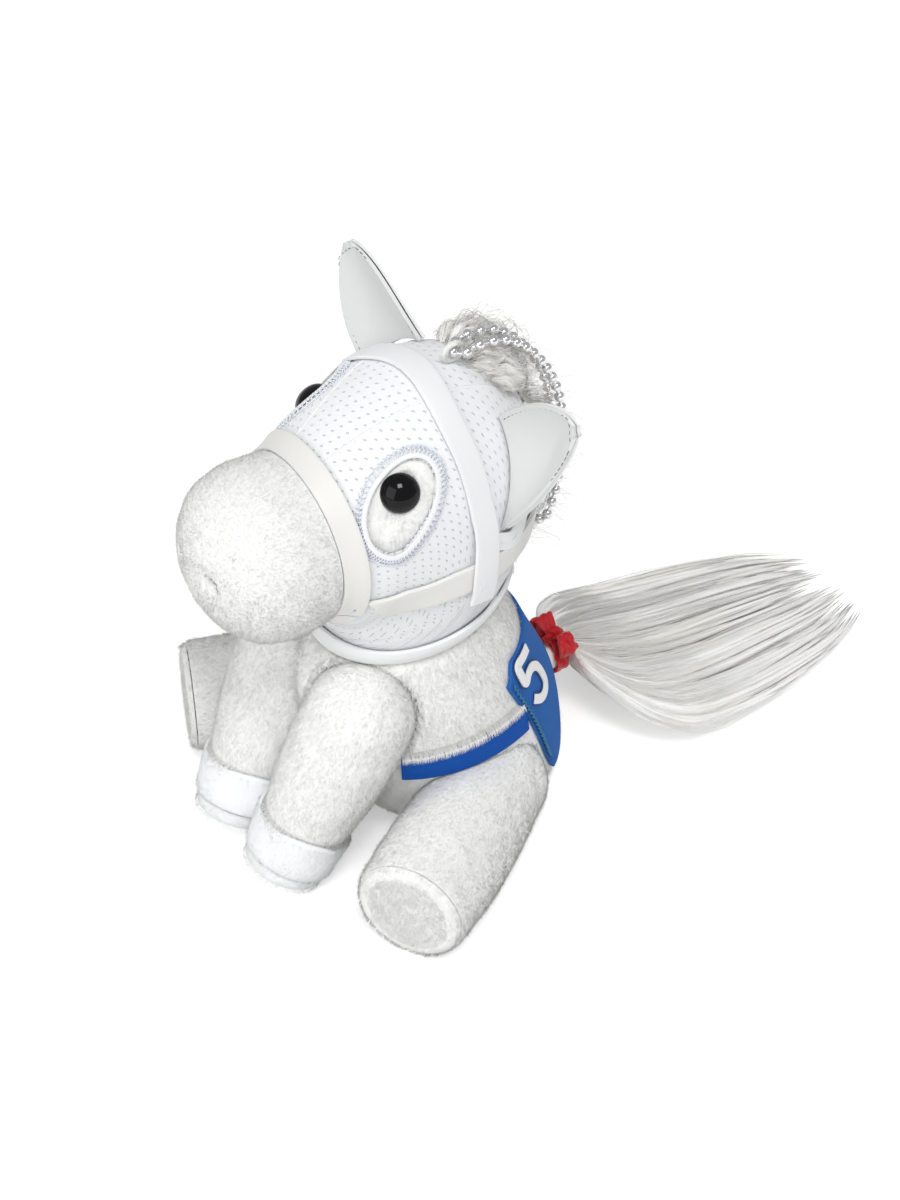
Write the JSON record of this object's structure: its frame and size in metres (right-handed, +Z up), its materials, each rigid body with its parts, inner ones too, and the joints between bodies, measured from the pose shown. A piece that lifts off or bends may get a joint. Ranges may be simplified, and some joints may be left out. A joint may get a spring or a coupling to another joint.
{
  "type": "plush horse",
  "caption": "Small sitting plush horse with a mesh racing hood, leatherette ears and straps, a plain number cloth and girth, a long tail tied with a satin bow and a ball chain at the poll.",
  "frame": {"origin": "middle of the flat seat that the horse sits on, at floor level", "axes": "+Z up, -Y the way the horse faces, +X to the horse's left, +Y towards its tail"},
  "size_m": [0.1127, 0.1877, 0.1353],
  "materials": {
    "white_plush": "short-pile plush",
    "stuffing": "loose polyester fibre",
    "short_plush": "clipped plush",
    "sports_mesh": "knitted mesh",
    "white_leatherette": "satin",
    "beige_leatherette": "satin",
    "grey_leatherette": "satin",
    "eye_plastic": "gloss",
    "washer_plastic": "matte",
    "hair": "long pile",
    "white_cord": "twisted cord",
    "chain_metal": "polished",
    "blue_cloth": "flat weave",
    "girth_cloth": "flat weave",
    "white_numeral": "flocked",
    "teal_thread": "thread",
    "red_satin": "satin",
    "white_felt": "felt",
    "hoof_felt": "brushed felt"
  },
  "bodies": {
    "body": {"chain_loop": "white_cord", "cheek_strap_left": "beige_leatherette", "cheek_strap_right": "beige_leatherette", "chin_strap": "beige_leatherette", "crown_strap": "white_leatherette", "eye_left": "eye_plastic", "eye_right": "eye_plastic", "eye_washer_left": "washer_plastic", "eye_washer_right": "washer_plastic", "girth_left": "girth_cloth", "girth_right": "girth_cloth", "head_skin": "white_plush", "head_stuffing": "stuffing", "hood_center": "sports_mesh", "hood_eye_rim_left": "white_leatherette", "hood_eye_rim_right": "white_leatherette", "hood_hem": "white_leatherette", "hood_left": "sports_mesh", "hood_right": "sports_mesh", "muzzle": "short_plush", "neck_mane": "hair", "noseband": "beige_leatherette", "number_cloth": "blue_cloth", "numeral_left": "white_numeral", "numeral_right": "white_numeral", "poll_tuft": "hair", "stitches_left": "teal_thread", "stitches_right": "teal_thread", "torso_skin": "white_plush", "torso_stuffing": "stuffing"},
    "chain_lower": {"ball_chain_lower": "chain_metal", "chain_connector": "chain_metal"},
    "chain_upper": {"ball_chain_upper": "chain_metal"},
    "tail_root": {"bow_left": "red_satin", "bow_right": "red_satin", "ribbon_wrap": "red_satin", "tail_root": "hair"},
    "ear_left": {"ear_back_left": "white_leatherette", "ear_front_left": "grey_leatherette"},
    "ear_right": {"ear_back_right": "white_leatherette", "ear_front_right": "grey_leatherette"},
    "front_leg_left": {"front_band_left": "white_felt", "front_hoof_left": "hoof_felt", "front_leg_left": "white_plush", "front_leg_stuffing_left": "stuffing"},
    "front_leg_right": {"front_band_right": "white_felt", "front_hoof_right": "hoof_felt", "front_leg_right": "white_plush", "front_leg_stuffing_right": "stuffing"},
    "hind_leg_left": {"hind_leg_left": "white_plush", "hind_leg_stuffing_left": "stuffing", "hind_sole_left": "short_plush"},
    "hind_leg_right": {"hind_leg_right": "white_plush", "hind_leg_stuffing_right": "stuffing", "hind_sole_right": "short_plush"},
    "tail_hair": {"tail_hair": "hair"}
  },
  "joints": [
    {"name": "tail_root_swing", "type": "hinge", "parent": "body", "child": "tail_root", "pos_m": [0, 0.02834, 0.0195], "axis": [0, 0, 1], "range_deg": [-15, 15], "stiffness_Nm_per_rad": 0.03},
    {"name": "tail_hair_lift", "type": "hinge", "parent": "tail_root", "child": "tail_hair", "pos_m": [0, 0.02954, 0.0195], "axis": [1, 0, 0], "range_deg": [0, 20]},
    {"name": "chain_lift", "type": "hinge", "parent": "body", "child": "chain_upper", "pos_m": [0.00465, -0.00317, 0.1244], "axis": [1, 0, 0], "range_deg": [0, 50]},
    {"name": "chain_bend", "type": "hinge", "parent": "chain_upper", "child": "chain_lower", "pos_m": [0.00523, 0.02433, 0.09532], "axis": [1, 0, 0], "range_deg": [0, 40]},
    {"name": "ear_left_flex", "type": "hinge", "parent": "body", "child": "ear_left", "pos_m": [0.02088, -0.00132, 0.10155], "axis": [0.3703, -0.2126, -0.9042], "range_deg": [-7, 7], "stiffness_Nm_per_rad": 0.02},
    {"name": "ear_right_flex", "type": "hinge", "parent": "body", "child": "ear_right", "pos_m": [-0.01457, -0.00588, 0.11416], "axis": [-0.7224, -0.212, -0.6581], "range_deg": [-7, 7], "stiffness_Nm_per_rad": 0.02},
    {"name": "front_leg_left_swing", "type": "hinge", "parent": "body", "child": "front_leg_left", "pos_m": [0.01442, -0.03498, 0.0435], "axis": [-1, 0, 0], "range_deg": [0, 10], "stiffness_Nm_per_rad": 0.3},
    {"name": "front_leg_right_swing", "type": "hinge", "parent": "body", "child": "front_leg_right", "pos_m": [-0.01442, -0.03498, 0.0435], "axis": [-1, 0, 0], "range_deg": [0, 10], "stiffness_Nm_per_rad": 0.3},
    {"name": "hind_leg_left_swing", "type": "hinge", "parent": "body", "child": "hind_leg_left", "pos_m": [0.02358, -0.0033, 0.013], "axis": [0, 0, 1], "range_deg": [-6, 6], "stiffness_Nm_per_rad": 0.3},
    {"name": "hind_leg_right_swing", "type": "hinge", "parent": "body", "child": "hind_leg_right", "pos_m": [-0.02358, -0.0033, 0.013], "axis": [0, 0, 1], "range_deg": [-6, 6], "stiffness_Nm_per_rad": 0.3}
  ]
}
